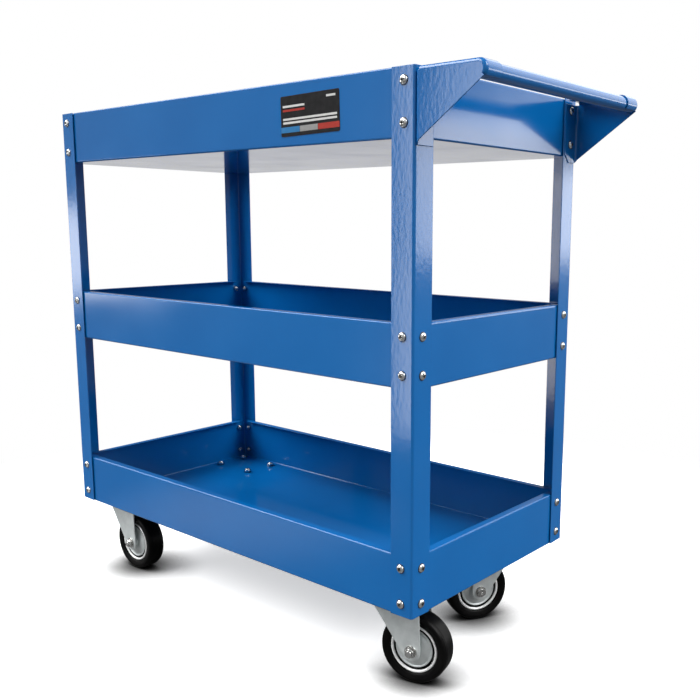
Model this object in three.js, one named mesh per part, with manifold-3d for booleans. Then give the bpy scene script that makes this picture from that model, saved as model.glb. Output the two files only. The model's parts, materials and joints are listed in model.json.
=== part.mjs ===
// Three-tray steel tool cart on four swivel casters, with a push handle at the +X end.
// Millimetres, +Z up, floor at z = 0. Left is -Y and right is +Y, as seen by a person who pushes
// at the handle and looks along -X. Rear is the handle end, front is the far end.
import * as THREE from 'three';
import { mergeVertices } from 'three/addons/utils/BufferGeometryUtils.js';
import Module from 'manifold-3d';

const wasm = await Module();
wasm.setup();

// ---- driving dimensions ----
const bodyLength = 800;      // over the posts, along X
const bodyWidth = 392;       // over the posts, along Y
const postHeight = 700;
const deckHeight = 127.5;    // floor to the underside of the bottom tray: mounting height of the casters
const gap = 0.3;             // clearance between pieces that touch

const post = { leg: 36, sheet: 1.5, bend: 3.5 };
const tray = { depth: 84, sheet: 1.2, lip: 12, lipStop: 16, corner: 3 };
const trayBase = { bottom: 0, middle: 306.5, top: postHeight - tray.depth };

const bracket = { reach: 101.5, height: 91, width: 34, sheet: 1.5, bend: 5, topDrop: 2 };
const tube = { radius: 10.4, wall: 1.5 };
const label = { length: 110, height: 53, sheet: 0.5, offsetX: 220, middle: 40.5 };

const wheel = {
  radius: 51, halfWidth: 16.5, rimRadius: 35.8, rimHalf: 12.7, ringInner: 32,
  discRadius: 28.3, grooveHalf: 5, bossRadius: 9, hubHalf: 19,
};
const trail = 35;            // from the kingpin back to the axle
const plate = { length: 110, width: 84, sheet: 3, corner: 8, boltX: 44, boltY: 31 };
const race = { inner: 14, outer: 30, height: 5.8 };
const fork = { halfWidth: 22.5, sheet: 2.5, crown: 3, crownRadius: 31, toe: -33, eye: 14.2, rearLean: 2.5 };
const kingpin = { radius: 6, headRadius: 9, headHeight: 1.5, footRadius: 10, footHeight: 3.5 };
const axle = { radius: 5, hexRadius: 7.5, headHeight: 5, nutHeight: 6, end: 1.7 };
const casterBolt = { radius: 4, hexRadius: 7.2, headHeight: 4, nutHeight: 6, end: 1.6 };

// Each corner: its signs, how far its kingpin sits in from the end and the side of the body, and the
// resting heading of its caster, which is the way from the kingpin to the axle in degrees from +X.
const corners = [
  { name: 'rear_left', x: 1, y: -1, insetX: 80, insetY: 62, heading: 14 },
  { name: 'rear_right', x: 1, y: 1, insetX: 81, insetY: 75, heading: 240 },
  { name: 'front_left', x: -1, y: -1, insetX: 62, insetY: 55, heading: 1 },
  { name: 'front_right', x: -1, y: 1, insetX: 68, insetY: 57, heading: -40 },
];

// ---- derived sizes ----
const halfLength = bodyLength / 2;
const halfWidth = bodyWidth / 2;
const trayHalfLength = halfLength - post.sheet - gap;
const trayHalfWidth = halfWidth - post.sheet - gap;
const nose = { radius: tube.radius + gap + bracket.sheet };
nose.x = halfLength + bracket.reach - nose.radius;
nose.z = postHeight - bracket.topDrop - nose.radius;
const level = { plateTop: -gap };                       // heights below the deck, going down
level.plateBottom = level.plateTop - plate.sheet;
level.raceTop = level.plateBottom - gap;
level.raceBottom = level.raceTop - race.height;
level.crownTop = level.raceBottom - gap;
level.crownBottom = level.crownTop - fork.crown;
level.axle = wheel.radius - deckHeight;
const boreRadius = axle.radius + gap;

// ---- materials ----
const paint = new THREE.MeshStandardMaterial({ color: '#1c5c9e', roughness: 0.3, metalness: 0.1 });
const zinc = new THREE.MeshStandardMaterial({ color: '#a9b0b0', roughness: 0.4, metalness: 0.8 });
const steel = new THREE.MeshStandardMaterial({ color: '#c8cacb', roughness: 0.25, metalness: 0.9 });
const rubber = new THREE.MeshStandardMaterial({ color: '#161618', roughness: 0.65, metalness: 0 });
const decal = new THREE.MeshStandardMaterial({ color: '#3c4045', roughness: 0.4, metalness: 0 });

// ---- geometry helpers ----
function solidOf(geometry) {
  const bare = geometry.clone();
  bare.deleteAttribute('normal');
  bare.deleteAttribute('uv');
  const merged = mergeVertices(bare, 1e-4);
  const vertProperties = Float32Array.from(merged.attributes.position.array);
  const triVerts = Uint32Array.from(merged.index.array);
  return new wasm.Manifold(new wasm.Mesh({ numProp: 3, vertProperties, triVerts }));
}

function geometryOf(solid) {
  const mesh = solid.getMesh();
  const geometry = new THREE.BufferGeometry();
  geometry.setAttribute('position', new THREE.BufferAttribute(mesh.vertProperties, 3));
  geometry.setIndex(new THREE.BufferAttribute(mesh.triVerts, 1));
  return geometry;
}

// A shape in the XY plane, raised from z to z + height.
function raised(shape, z, height, curveSegments = 3) {
  const geometry = new THREE.ExtrudeGeometry(shape, { depth: height, bevelEnabled: false, curveSegments });
  return geometry.translate(0, 0, z);
}

function roundedRectangle(halfX, halfY, radius) {
  const shape = new THREE.Shape();
  const quarter = Math.PI / 2;
  const centres = [[1, 1], [-1, 1], [-1, -1], [1, -1]];
  centres.forEach(([sx, sy], i) => {
    const x = sx * (halfX - radius);
    const y = sy * (halfY - radius);
    shape.absarc(x, y, radius, i * quarter, (i + 1) * quarter, false);
  });
  shape.closePath();
  return shape;
}

function block(x0, x1, y0, y1, z0, z1) {
  const geometry = new THREE.BoxGeometry(x1 - x0, y1 - y0, z1 - z0);
  return geometry.translate((x0 + x1) / 2, (y0 + y1) / 2, (z0 + z1) / 2);
}

// An upright cylinder or prism between two heights.
function column(radius, z0, z1, segments, x = 0, y = 0) {
  const geometry = new THREE.CylinderGeometry(radius, radius, z1 - z0, segments);
  return geometry.rotateX(Math.PI / 2).translate(x, y, (z0 + z1) / 2);
}

// A profile of [radius, height] points turned about Z.
function turned(profile, segments) {
  const points = profile.map(([r, z]) => new THREE.Vector2(r, z));
  return new THREE.LatheGeometry(points, segments).rotateX(Math.PI / 2);
}

// Mirrors a half profile about height 0 and closes it on itself.
function symmetricRing(half) {
  const back = half.map(([r, z]) => [r, -z]).reverse();
  return [...half, ...back, half[0]];
}

const group = new THREE.Group();

function place(name, geometry, material, parent = group) {
  const mesh = new THREE.Mesh(geometry, material);
  mesh.name = name;
  parent.add(mesh);
  return mesh;
}

// ---- posts: L-angles of bent sheet, corner outwards ----
function postShape() {
  const { leg, sheet, bend } = post;
  const shape = new THREE.Shape();
  shape.moveTo(-leg, 0);
  shape.lineTo(-leg, -sheet);
  shape.lineTo(-bend, -sheet);
  shape.absarc(-bend, -bend, bend - sheet, Math.PI / 2, 0, true);
  shape.lineTo(-sheet, -leg);
  shape.lineTo(0, -leg);
  shape.lineTo(0, -bend);
  shape.absarc(-bend, -bend, bend, 0, Math.PI / 2, false);
  shape.closePath();
  return shape;
}

function addPosts(frame) {
  const quarterTurns = { '1,1': 0, '-1,1': 1, '-1,-1': 2, '1,-1': 3 };
  for (const corner of corners) {
    const mesh = place(`post_${corner.name}`, raised(postShape(), 0, postHeight), paint, frame);
    mesh.rotation.z = quarterTurns[`${corner.x},${corner.y}`] * Math.PI / 2;
    mesh.position.set(corner.x * halfLength, corner.y * halfWidth, 0);
  }
}

// ---- trays: floor, four walls and a return lip along each wall, cut back at the corners ----
function lipOpening() {
  const { sheet, lip, lipStop } = tray;
  const x = trayHalfLength - sheet;
  const y = trayHalfWidth - sheet;
  const shape = new THREE.Shape();
  const points = [
    [x, y - lipStop], [x - lip, y - lipStop - lip / 2], [x - lip, -y + lipStop + lip / 2], [x, -y + lipStop],
    [x, -y], [x - lipStop, -y], [x - lipStop - lip / 2, -y + lip], [-x + lipStop + lip / 2, -y + lip],
    [-x + lipStop, -y], [-x, -y], [-x, -y + lipStop], [-x + lip, -y + lipStop + lip / 2],
    [-x + lip, y - lipStop - lip / 2], [-x, y - lipStop], [-x, y], [-x + lipStop, y],
    [-x + lipStop + lip / 2, y - lip], [x - lipStop - lip / 2, y - lip], [x - lipStop, y], [x, y],
  ];
  shape.setFromPoints(points.map(([px, py]) => new THREE.Vector2(px, py)));
  return shape;
}

function traySolid() {
  const { depth, sheet, corner } = tray;
  const outer = raised(roundedRectangle(trayHalfLength, trayHalfWidth, corner), 0, depth);
  const innerShape = roundedRectangle(trayHalfLength - sheet, trayHalfWidth - sheet, corner - sheet);
  const inner = raised(innerShape, sheet, depth - 2 * sheet);
  const opening = raised(lipOpening(), depth - 2 * sheet, 3 * sheet);
  return solidOf(outer).subtract(solidOf(inner)).subtract(solidOf(opening));
}

function casterBoltPlaces() {
  const places = [];
  for (const sx of [-1, 1]) {
    for (const sy of [-1, 1]) {
      places.push([sx * plate.boltX, sy * plate.boltY]);
    }
  }
  return places;
}

function casterCentre(corner) {
  return [corner.x * (halfLength - corner.insetX), corner.y * (halfWidth - corner.insetY)];
}

function bottomTraySolid() {
  let solid = traySolid();
  for (const corner of corners) {
    const [cx, cy] = casterCentre(corner);
    for (const [bx, by] of casterBoltPlaces()) {
      const hole = column(casterBolt.radius + gap, -1, tray.sheet + 1, 8, cx + bx, cy + by);
      solid = solid.subtract(solidOf(hole));
    }
  }
  return solid;
}

function addTrays(frame) {
  for (const [name, z] of Object.entries(trayBase)) {
    const solid = name === 'bottom' ? bottomTraySolid() : traySolid();
    const mesh = place(`tray_${name}`, geometryOf(solid), paint, frame);
    mesh.position.z = z;
  }
}

// ---- handle: two folded brackets and a tube between their noses ----
// Side outline in X and Z. The underside runs straight from the foot of the flange to the nose.
function bracketShape() {
  const back = halfLength + gap;
  const foot = postHeight - bracket.topDrop - bracket.height;
  const dx = nose.x - back;
  const dz = nose.z - foot;
  const slope = Math.atan2(dz, dx) + Math.asin(nose.radius / Math.hypot(dx, dz));
  const shape = new THREE.Shape();
  shape.moveTo(back, nose.z + nose.radius);
  shape.lineTo(back, foot);
  shape.absarc(nose.x, nose.z, nose.radius, slope - Math.PI / 2, Math.PI / 2, false);
  shape.closePath();
  return shape;
}

// Raised along +Y from the outer face of the plate, so z of the extrusion becomes y.
function sideExtrusion(shape, y, depth) {
  return raised(shape, 0, depth, 6).rotateX(Math.PI / 2).translate(0, y + depth, 0);
}

function pocketShape() {
  const { sheet, reach } = bracket;
  const shape = new THREE.Shape();
  const back = halfLength + gap + sheet;
  const radius = nose.radius - sheet;
  shape.moveTo(back, nose.z - reach * 2);
  shape.lineTo(nose.x + reach, nose.z - reach * 2);
  shape.lineTo(nose.x + radius * Math.SQRT1_2, nose.z - radius * Math.SQRT1_2);
  shape.absarc(nose.x, nose.z, radius, -Math.PI / 4, Math.PI / 2, false);
  shape.lineTo(back, nose.z + radius);
  shape.closePath();
  return shape;
}

function bracketSolid(chamferFoot) {
  const { width, sheet, bend, height, topDrop } = bracket;
  const outline = solidOf(sideExtrusion(bracketShape(), 0, width));
  const pocket = solidOf(sideExtrusion(pocketShape(), sheet, width));
  const round = new THREE.Shape();
  const back = halfLength + gap;
  round.moveTo(back + bracket.reach, width);
  round.lineTo(back, width);
  round.absarc(back + bend, bend, bend, Math.PI, Math.PI * 1.5, false);
  round.lineTo(back + bracket.reach, 0);
  round.closePath();
  let solid = outline.subtract(pocket).intersect(solidOf(raised(round, 0, postHeight + 1)));
  if (chamferFoot) {
    const foot = postHeight - topDrop - height;
    const wedge = new THREE.CylinderGeometry(13, 13, 6, 4).rotateZ(Math.PI / 2);
    solid = solid.subtract(solidOf(wedge.translate(back, width, foot)));
  }
  return solid;
}

function addHandle(frame) {
  const left = place('handle_bracket_left', geometryOf(bracketSolid(false)), paint, frame);
  left.position.y = -halfWidth;
  const mirrored = bracketSolid(true).mirror([0, 1, 0]);
  const right = place('handle_bracket_right', geometryOf(mirrored), paint, frame);
  right.position.y = halfWidth;

  const half = halfWidth - bracket.sheet - gap;
  const inner = tube.radius - tube.wall;
  const profile = [[inner, -half], [tube.radius, -half], [tube.radius, half], [inner, half], [inner, -half]];
  const bar = place('handle_tube', turned(profile, 24), paint, frame);
  bar.rotation.x = Math.PI / 2;
  bar.position.set(nose.x, 0, nose.z);
}

// ---- label on the left wall of the top tray ----
function addLabel(frame) {
  const shape = roundedRectangle(label.length / 2, label.height / 2, 2);
  const mesh = place('label_plate', raised(shape, 0, label.sheet), decal, frame);
  mesh.rotation.x = Math.PI / 2;
  mesh.position.set(label.offsetX, -trayHalfWidth - gap / 3, trayBase.top + label.middle);
}

// ---- casters; heights are measured from the underside of the bottom tray ----
function casterPlateSolid() {
  const outline = roundedRectangle(plate.length / 2, plate.width / 2, plate.corner);
  let solid = solidOf(raised(outline, level.plateBottom, plate.sheet));
  const pinHole = column(kingpin.radius + gap, level.plateBottom - 1, 1, 16);
  const pocketFloor = level.plateTop - 2 * gap - kingpin.headHeight;
  const pocket = column(kingpin.headRadius + gap, pocketFloor, 1, 16);
  solid = solid.subtract(solidOf(pinHole)).subtract(solidOf(pocket));
  for (const [x, y] of casterBoltPlaces()) {
    solid = solid.subtract(solidOf(column(casterBolt.radius + gap, level.plateBottom - 1, 1, 8, x, y)));
  }
  return solid;
}

function raceProfile() {
  const { inner, outer } = race;
  const { raceTop: top, raceBottom: foot } = level;
  const middle = (top + foot) / 2;
  return [[inner, foot], [outer - 2, foot], [outer, foot + 1.5], [outer - 1.5, middle],
    [outer, top - 1.5], [outer - 2, top], [inner, top], [inner, foot]];
}

function kingpinProfile() {
  const { radius, headRadius, headHeight, footRadius, footHeight } = kingpin;
  const top = level.plateTop - gap;
  const foot = level.crownBottom - gap;
  return [[0, foot - footHeight], [footRadius - 2, foot - footHeight], [footRadius, foot - 1], [footRadius, foot],
    [radius, foot], [radius, top - headHeight], [headRadius, top - headHeight], [headRadius, top], [0, top]];
}

// Leg outline in X (trail) and Z: a slanted front edge and a nearly upright rear edge, both down to the eye.
function forkLegShape() {
  const { toe, eye, rearLean } = fork;
  const rise = level.crownTop - level.axle;
  const run = toe - trail;
  const slant = Math.atan2(rise, run) + Math.acos(eye / Math.hypot(run, rise));
  const shape = new THREE.Shape();
  shape.moveTo(trail + eye - rearLean, level.crownTop);
  shape.lineTo(toe, level.crownTop);
  shape.absarc(trail, level.axle, eye, slant, Math.PI * 2, false);
  shape.closePath();
  return shape;
}

function forkSolid() {
  const { halfWidth: half, sheet, crownRadius, toe, eye } = fork;
  const rear = trail + eye;
  const legs = sideExtrusion(forkLegShape(), -half, 2 * half);
  const between = block(toe - 50, rear + 50, -half + sheet, half - sheet, -deckHeight, level.crownBottom);
  let solid = solidOf(legs).subtract(solidOf(between));
  solid = solid.add(solidOf(column(crownRadius, level.crownBottom, level.crownTop, 24)));
  const pinHole = column(kingpin.radius + gap, level.crownBottom - 1, level.crownTop + 1, 16);
  const axleHole = column(boreRadius, -half - 1, half + 1, 16).rotateX(Math.PI / 2);
  return solid.subtract(solidOf(pinHole)).subtract(solidOf(axleHole.translate(trail, 0, level.axle)));
}

// The wheel's own axis is Z here; the wheel is turned onto Y when it is placed.
function wheelCoreProfile() {
  const { rimRadius, rimHalf, ringInner, discRadius, grooveHalf, bossRadius, hubHalf } = wheel;
  return symmetricRing([[rimRadius, rimHalf], [ringInner, rimHalf], [ringInner, grooveHalf],
    [discRadius, grooveHalf], [discRadius - 1.5, rimHalf - 1], [bossRadius + 1, rimHalf],
    [bossRadius, hubHalf], [boreRadius, hubHalf]]);
}

function tyreProfile() {
  const { radius, halfWidth: half, rimRadius, rimHalf } = wheel;
  return symmetricRing([[radius, half * 0.5], [radius - 1, half * 0.82], [radius - 4, half * 0.98],
    [rimRadius + 2, half * 0.9], [rimRadius + gap, rimHalf]]);
}

function axleSolid() {
  const { radius, hexRadius, headHeight, nutHeight, end } = axle;
  const face = fork.halfWidth + gap;
  const shank = column(radius, -face - nutHeight - end, face + 1, 16);
  const head = column(hexRadius, face, face + headHeight, 6);
  return solidOf(shank).add(solidOf(head));
}

function axleNutSolid() {
  const face = fork.halfWidth + gap;
  const nut = column(axle.hexRadius, -face - axle.nutHeight, -face, 6);
  return solidOf(nut).subtract(solidOf(column(boreRadius, -face - axle.nutHeight - 1, -face + 1, 16)));
}

function casterBoltSolid() {
  const { radius, hexRadius, headHeight, nutHeight, end } = casterBolt;
  const headTop = level.plateBottom - gap;
  const nutFoot = tray.sheet + gap;
  const shank = column(radius, headTop - headHeight + 1, nutFoot + nutHeight + end, 8);
  const head = column(hexRadius, headTop - headHeight, headTop, 6);
  const nut = column(hexRadius, nutFoot, nutFoot + nutHeight, 6);
  return solidOf(shank).add(solidOf(head)).add(solidOf(nut));
}

function addCaster(frame, corner) {
  const { name } = corner;
  const [x, y] = casterCentre(corner);
  const fixed = new THREE.Group();
  fixed.position.set(x, y, 0);
  frame.add(fixed);
  place(`caster_plate_${name}`, geometryOf(casterPlateSolid()), zinc, fixed);
  place(`ball_race_${name}`, turned(raceProfile(), 20), zinc, fixed);
  place(`kingpin_${name}`, turned(kingpinProfile(), 16), steel, fixed);
  casterBoltPlaces().forEach(([bx, by], i) => {
    const bolt = place(`caster_bolt_${name}_${i + 1}`, geometryOf(casterBoltSolid()), steel, fixed);
    bolt.position.set(bx, by, 0);
  });

  const swivel = new THREE.Group();
  swivel.rotation.z = THREE.MathUtils.degToRad(corner.heading);
  fixed.add(swivel);
  place(`fork_${name}`, geometryOf(forkSolid()), zinc, swivel);

  const rolling = new THREE.Group();
  rolling.position.set(trail, 0, level.axle);
  rolling.rotation.x = -Math.PI / 2;
  swivel.add(rolling);
  place(`axle_bolt_${name}`, geometryOf(axleSolid()), steel, rolling);
  place(`axle_nut_${name}`, geometryOf(axleNutSolid()), steel, rolling);
  place(`wheel_core_${name}`, turned(wheelCoreProfile(), 24), zinc, rolling);
  place(`tyre_${name}`, turned(tyreProfile(), 32), rubber, rolling);
}

// ---- assembly: origin on the floor, at the middle of the whole outline, handle included ----
const frame = new THREE.Group();
frame.position.set(-bracket.reach / 2, 0, deckHeight);
group.add(frame);
addPosts(frame);
addTrays(frame);
addHandle(frame);
addLabel(frame);
for (const corner of corners) {
  addCaster(frame, corner);
}

export default group;
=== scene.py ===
import json
import math

import bmesh
import bpy
from mathutils import Matrix, Vector


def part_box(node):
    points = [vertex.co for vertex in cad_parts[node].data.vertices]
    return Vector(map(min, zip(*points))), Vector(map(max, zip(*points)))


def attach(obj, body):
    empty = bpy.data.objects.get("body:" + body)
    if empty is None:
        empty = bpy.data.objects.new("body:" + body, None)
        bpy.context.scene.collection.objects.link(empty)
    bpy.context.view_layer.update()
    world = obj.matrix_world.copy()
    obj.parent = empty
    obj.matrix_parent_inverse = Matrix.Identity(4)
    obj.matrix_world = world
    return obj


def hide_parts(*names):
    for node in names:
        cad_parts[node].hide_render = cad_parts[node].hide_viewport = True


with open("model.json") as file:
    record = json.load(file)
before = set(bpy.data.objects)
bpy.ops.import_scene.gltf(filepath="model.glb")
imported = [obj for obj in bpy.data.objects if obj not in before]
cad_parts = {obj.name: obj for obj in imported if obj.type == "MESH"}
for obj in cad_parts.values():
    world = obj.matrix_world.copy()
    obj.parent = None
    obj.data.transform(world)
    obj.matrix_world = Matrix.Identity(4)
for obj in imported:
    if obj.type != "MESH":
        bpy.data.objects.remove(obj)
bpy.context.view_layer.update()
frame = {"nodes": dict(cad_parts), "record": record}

# ---- sizes in millimetres, as in part.mjs ----
MM = 0.001
LEG, POST_SHEET, POST_BEND, POST_FLARE = 36.0, 1.5, 3.5, 0.9
POST_FOOT = 1.0
TRAY_SHEET, TRAY_DEPTH, TRAY_CORNER, FLOOR_BEND, LIP_BEND = 1.2, 84.0, 3.0, 2.6, 2.0
LIP, LIP_STOP = 12.0, 16.0
GAP = 0.3
BRACKET_WIDTH, BRACKET_SHEET, BRACKET_BEND, BRACKET_CHAMFER = 34.0, 1.5, 5.0, 13.0
NOSE_RADIUS = 12.2
TUBE_RADIUS, TUBE_WALL = 10.4, 1.5
FORK_HALF, FORK_SHEET, FORK_BEND, FORK_TOE, FORK_EYE = 22.5, 2.5, 4.5, -33.0, 14.2
FORK_LEAN = 2.5
FORK_CREASE, FORK_PINCH = 27.0, 0.055
TRAIL = 35.0
HUB_HALF = 19.0
AXLE_RADIUS, WASHER = 5.0, 1.2
SCREW_INSET = {"bottom": 19.0, "middle": 18.0, "top": 17.0}
SCREW_LOW, SCREW_HIGH = 18.0, 67.5
LABEL_TILT = 1.2

# Nuts and bolt heads: width across flats, height, radius of the shank, length that stands out.
TRAY_NUT = (9.8, 4.2, 3.0, 2.2)
CASTER_NUT, CASTER_HEAD = (12.6, 6.2, 4.0, 1.6), (12.6, 4.2, 1.5, 0.1)
AXLE_NUT, AXLE_HEAD = (13.0, 5.6, AXLE_RADIUS - 0.2, 1.8), (13.0, 5.3, 1.5, 0.1)
CORNERS = {"rear_left": (1, -1), "rear_right": (1, 1), "front_left": (-1, -1), "front_right": (-1, 1)}

# ---- places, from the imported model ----
post_low, post_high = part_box("post_rear_left")
front_low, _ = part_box("post_front_left")
DECK = post_low.z
MIDDLE_X = (front_low.x + post_high.x) / 2
HALF_X = (post_high.x - front_low.x) / 2 / MM
HALF_Y = -post_low.y / MM
POST_HEIGHT = (post_high.z - post_low.z) / MM
CART = Matrix.Translation((MIDDLE_X, 0.0, DECK))
JOINTS = {joint["name"]: joint for joint in frame["record"]["behaviour"]["joints"]}
AXLE_Z = (JOINTS["wheel_spin_rear_left"]["pos_m"][2] - DECK) / MM
CROWN_TOP = (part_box("fork_rear_left")[1].z - DECK) / MM


# ---- node helpers ----
def diffuse_node(tree, grey):
    node = tree.nodes.new("ShaderNodeBsdfDiffuse")
    node.inputs["Color"].default_value = (grey, grey, grey, 1)
    return node.outputs[0]


def mix_node(tree, factor, first, second):
    node = tree.nodes.new("ShaderNodeMixShader")
    for socket, source in zip(node.inputs, (factor, first, second)):
        tree.links.new(source, socket)
    return node.outputs[0]


def distance_from(tree, coords, centre, start, end):
    """0 to 1 as the distance from a point goes from start to end; it falls if end is less than start."""
    offset = tree.nodes.new("ShaderNodeVectorMath")
    offset.operation = "DISTANCE"
    offset.inputs[1].default_value = centre
    tree.links.new(coords.outputs["Object"], offset.inputs[0])
    span = tree.nodes.new("ShaderNodeMapRange")
    span.interpolation_type = "SMOOTHSTEP"
    span.inputs["From Min"].default_value = start
    span.inputs["From Max"].default_value = end
    tree.links.new(offset.outputs["Value"], span.inputs["Value"])
    return span.outputs["Result"]


def math_node(tree, operation, first, second=None):
    node = tree.nodes.new("ShaderNodeMath")
    node.operation = operation
    for socket, value in zip(node.inputs, (first, second)):
        if value is None:
            continue
        if isinstance(value, (int, float)):
            socket.default_value = value
        else:
            tree.links.new(value, socket)
    return node.outputs[0]


# ---- materials ----
def new_material(name):
    material = bpy.data.materials.new(name)
    material.use_nodes = True
    nodes = material.node_tree.nodes
    shader = nodes["Principled BSDF"]
    coords = nodes.new("ShaderNodeTexCoord")
    return material, shader, coords


def add_noise(material, coords, scale, detail=2.0, stretch=(1.0, 1.0, 1.0)):
    nodes, links = material.node_tree.nodes, material.node_tree.links
    mapping = nodes.new("ShaderNodeMapping")
    mapping.inputs["Scale"].default_value = stretch
    noise = nodes.new("ShaderNodeTexNoise")
    noise.inputs["Scale"].default_value = scale
    noise.inputs["Detail"].default_value = detail
    links.new(coords.outputs["Object"], mapping.inputs["Vector"])
    links.new(mapping.outputs["Vector"], noise.inputs["Vector"])
    return noise


def vary_colour(material, shader, noise, dark, light):
    nodes, links = material.node_tree.nodes, material.node_tree.links
    ramp = nodes.new("ShaderNodeValToRGB")
    ramp.color_ramp.elements[0].position = 0.35
    ramp.color_ramp.elements[1].position = 0.65
    ramp.color_ramp.elements[0].color = (*dark, 1.0)
    ramp.color_ramp.elements[1].color = (*light, 1.0)
    links.new(noise.outputs["Fac"], ramp.inputs["Fac"])
    links.new(ramp.outputs["Color"], shader.inputs["Base Color"])


def vary_roughness(material, shader, noise, low, high):
    nodes, links = material.node_tree.nodes, material.node_tree.links
    span = nodes.new("ShaderNodeMapRange")
    span.inputs["From Min"].default_value = 0.3
    span.inputs["From Max"].default_value = 0.7
    span.inputs["To Min"].default_value = low
    span.inputs["To Max"].default_value = high
    links.new(noise.outputs["Fac"], span.inputs["Value"])
    links.new(span.outputs["Result"], shader.inputs["Roughness"])


def add_bump(material, shader, noise, strength, distance):
    nodes, links = material.node_tree.nodes, material.node_tree.links
    bump = nodes.new("ShaderNodeBump")
    bump.inputs["Strength"].default_value = strength
    bump.inputs["Distance"].default_value = distance
    links.new(noise.outputs["Fac"], bump.inputs["Height"])
    links.new(bump.outputs["Normal"], shader.inputs["Normal"])


def powder_coat(name, peel_scale, peel_strength, stretch=(1.0, 1.0, 1.0)):
    material, shader, coords = new_material(name)
    shader.inputs["IOR"].default_value = 1.52
    clouds = add_noise(material, coords, 9.0, 3.0)
    vary_colour(material, shader, clouds, (0.0012, 0.106, 0.342), (0.0017, 0.115, 0.364))
    vary_roughness(material, shader, clouds, 0.09, 0.15)
    peel = add_noise(material, coords, peel_scale, 1.0, stretch)
    add_bump(material, shader, peel, peel_strength, 0.0001)
    return material


def zinc_plate():
    material, shader, coords = new_material("zinc_plate")
    shader.inputs["Metallic"].default_value = 0.5
    clouds = add_noise(material, coords, 60.0, 4.0)
    vary_colour(material, shader, clouds, (0.60, 0.64, 0.64), (0.71, 0.75, 0.75))
    vary_roughness(material, shader, clouds, 0.34, 0.46)
    grain = add_noise(material, coords, 900.0, 3.0, (1.0, 1.0, 0.15))
    add_bump(material, shader, grain, 0.15, 0.0001)
    return material


def bright_steel():
    material, shader, coords = new_material("bright_steel")
    shader.inputs["Metallic"].default_value = 1.0
    clouds = add_noise(material, coords, 400.0, 3.0)
    vary_colour(material, shader, clouds, (0.66, 0.66, 0.64), (0.78, 0.78, 0.77))
    vary_roughness(material, shader, clouds, 0.12, 0.24)
    add_bump(material, shader, clouds, 0.12, 0.0001)
    return material


def rim_plate_and_painted_reflection():
    """The pale plating of the rim rings; its near-white, nearly even colour also holds a painted reflection
    of a bright white surround.
    """
    material, shader, coords = new_material("rim_plate_and_painted_reflection")
    shader.inputs["Metallic"].default_value = 0.2
    clouds = add_noise(material, coords, 90.0, 3.0)
    vary_colour(material, shader, clouds, (0.88, 0.89, 0.89), (0.96, 0.96, 0.95))
    vary_roughness(material, shader, clouds, 0.28, 0.36)
    return material


def tyre_rubber():
    material, shader, coords = new_material("tyre_rubber")
    shader.inputs["Specular IOR Level"].default_value = 0.09
    clouds = add_noise(material, coords, 45.0, 4.0)
    vary_colour(material, shader, clouds, (0.0018, 0.0018, 0.002), (0.0034, 0.0032, 0.0032))
    vary_roughness(material, shader, clouds, 0.3, 0.42)
    grain = add_noise(material, coords, 1500.0, 3.0)
    add_bump(material, shader, grain, 0.25, 0.0001)
    return material


# Near-black painted shade for recesses: the screws' cross recess, the ring under each screw head and the
# wheel's groove.
def painted_shade_black():
    material, shader, coords = new_material("painted_shade_black")
    clouds = add_noise(material, coords, 80.0, 3.0)
    vary_colour(material, shader, clouds, (0.004, 0.004, 0.0045), (0.009, 0.009, 0.009))
    vary_roughness(material, shader, clouds, 0.35, 0.5)
    return material


def label_film():
    material, shader, coords = new_material("label_film")
    shader.inputs["Specular IOR Level"].default_value = 0.1
    clouds = add_noise(material, coords, 120.0, 3.0)
    vary_colour(material, shader, clouds, (0.011, 0.011, 0.012), (0.016, 0.016, 0.017))
    vary_roughness(material, shader, clouds, 0.28, 0.36)
    return material


def print_ink(name, colour):
    material, shader, coords = new_material(name)
    shader.inputs["Specular IOR Level"].default_value = 0.25
    clouds = add_noise(material, coords, 200.0, 3.0)
    dark = tuple(value * 0.92 for value in colour)
    vary_colour(material, shader, clouds, dark, colour)
    vary_roughness(material, shader, clouds, 0.3, 0.4)
    return material


PAINT = powder_coat("blue_powder_coat", 330.0, 0.15)
PEEL_PAINT = powder_coat("blue_powder_coat_peel", 210.0, 0.85, (1.0, 1.0, 0.5))
ZINC = zinc_plate()
STEEL = bright_steel()
# Rim plating whose near-white colour also holds a painted reflection.
RIM_AND_REFLECTION = rim_plate_and_painted_reflection()
RUBBER = tyre_rubber()
# Near-black painted shade for recesses and for the ring under the screw heads.
SHADE_BLACK = painted_shade_black()
FILM = label_film()
PALE_INK = print_ink("ink_pale", (0.58, 0.58, 0.57))
GREY_INK = print_ink("ink_grey", (0.26, 0.26, 0.255))
BLUE_INK = print_ink("ink_blue", (0.012, 0.15, 0.36))
RED_INK = print_ink("ink_red", (0.34, 0.022, 0.012))


# ---- mesh helpers ----
def add_faces(bm, rows, closed=False, material=0):
    """Quads between rows of vertices, which all have the same length."""
    for upper, lower in zip(rows, rows[1:]):
        count = len(upper) if closed else len(upper) - 1
        for i in range(count):
            j = (i + 1) % len(upper)
            face = bm.faces.new((upper[i], upper[j], lower[j], lower[i]))
            face.material_index = material


def row_of(bm, points):
    return [bm.verts.new(point) for point in points]


def lathe(profile, segments, materials=None):
    """A profile of (radius, height) points turned about Z; a radius of 0 closes an end."""
    bm = bmesh.new()
    rows = []
    for radius, height in profile:
        if radius == 0:
            rows.append([bm.verts.new((0, 0, height))])
            continue
        angles = [2 * math.pi * i / segments for i in range(segments)]
        rows.append(row_of(bm, [(radius * math.cos(a), radius * math.sin(a), height) for a in angles]))
    for index, (first, second) in enumerate(zip(rows, rows[1:])):
        for i in range(segments):
            j = (i + 1) % segments
            corners = [first[i % len(first)], first[j % len(first)]]
            corners += [second[j % len(second)], second[i % len(second)]]
            face = bm.faces.new(list(dict.fromkeys(corners)))
            face.material_index = materials[index] if materials else 0
    bmesh.ops.remove_doubles(bm, verts=bm.verts, dist=1e-5)
    bmesh.ops.recalc_face_normals(bm, faces=bm.faces)
    return bm


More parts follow.
